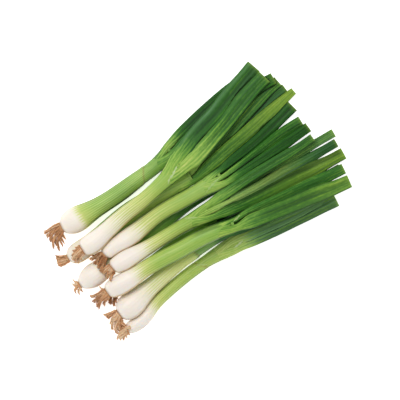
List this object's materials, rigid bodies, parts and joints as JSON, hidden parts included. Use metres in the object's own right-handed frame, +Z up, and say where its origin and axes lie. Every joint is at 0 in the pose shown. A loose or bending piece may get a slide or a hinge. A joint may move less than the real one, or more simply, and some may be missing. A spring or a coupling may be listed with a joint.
{
  "type": "spring onion bunch",
  "caption": "Loose bunch of spring onions lying flat: dried root tufts, pale bulbs and shanks, and flattened hollow green leaves fanning out to their trimmed ends.",
  "frame": {"origin": "on the surface that the bunch lies on, under the middle of its bounding box", "axes": "+X from the roots to the trimmed leaf ends, +Y to the left of that way, +Z up"},
  "size_m": [0.3048, 0.1708, 0.0392],
  "materials": {
    "bulb_and_shank": "moist smooth skin, ivory bulb turning pale green along the shank",
    "green_leaf": "waxy satin leaf with fine lengthwise ribs",
    "yellow_green_leaf": "waxy satin leaf with fine lengthwise ribs, yellowing",
    "root_tuft": "dry dull fibres"
  },
  "bodies": {
    "root": {"onion_a_bulb_and_shank": "bulb_and_shank", "onion_a_leaf_left": "green_leaf", "onion_a_leaf_right": "green_leaf", "onion_a_roots": "root_tuft", "onion_b_bulb_and_shank": "bulb_and_shank", "onion_b_leaf_left": "green_leaf", "onion_b_leaf_middle": "green_leaf", "onion_b_leaf_right": "yellow_green_leaf", "onion_b_roots": "root_tuft", "onion_c_bulb_and_shank": "bulb_and_shank", "onion_c_leaf_left": "green_leaf", "onion_c_leaf_middle": "green_leaf", "onion_c_leaf_right": "green_leaf", "onion_c_roots": "root_tuft", "onion_d_bulb_and_shank": "bulb_and_shank", "onion_d_leaf_left": "green_leaf", "onion_d_leaf_middle": "green_leaf", "onion_d_leaf_right": "green_leaf", "onion_d_roots": "root_tuft", "onion_e_bulb_and_shank": "bulb_and_shank", "onion_e_leaf_first": "green_leaf", "onion_e_leaf_fourth": "yellow_green_leaf", "onion_e_leaf_second": "green_leaf", "onion_e_leaf_third": "green_leaf", "onion_e_roots": "root_tuft", "onion_f_bulb_and_shank": "bulb_and_shank", "onion_f_leaf_left": "green_leaf", "onion_f_leaf_right": "green_leaf", "onion_f_roots": "root_tuft", "onion_g_bulb_and_shank": "bulb_and_shank", "onion_g_leaf_left": "green_leaf", "onion_g_leaf_right": "green_leaf", "onion_g_roots": "root_tuft", "onion_h_bulb_and_shank": "bulb_and_shank", "onion_h_leaf_left": "green_leaf", "onion_h_leaf_right": "green_leaf", "onion_h_roots": "root_tuft", "onion_i_bulb_and_shank": "bulb_and_shank", "onion_i_leaf_left": "green_leaf", "onion_i_leaf_right": "green_leaf", "onion_i_roots": "root_tuft", "onion_j_bulb_and_shank": "bulb_and_shank", "onion_j_leaf_left": "green_leaf", "onion_j_leaf_right": "green_leaf", "onion_j_roots": "root_tuft"}
  },
  "joints": []
}
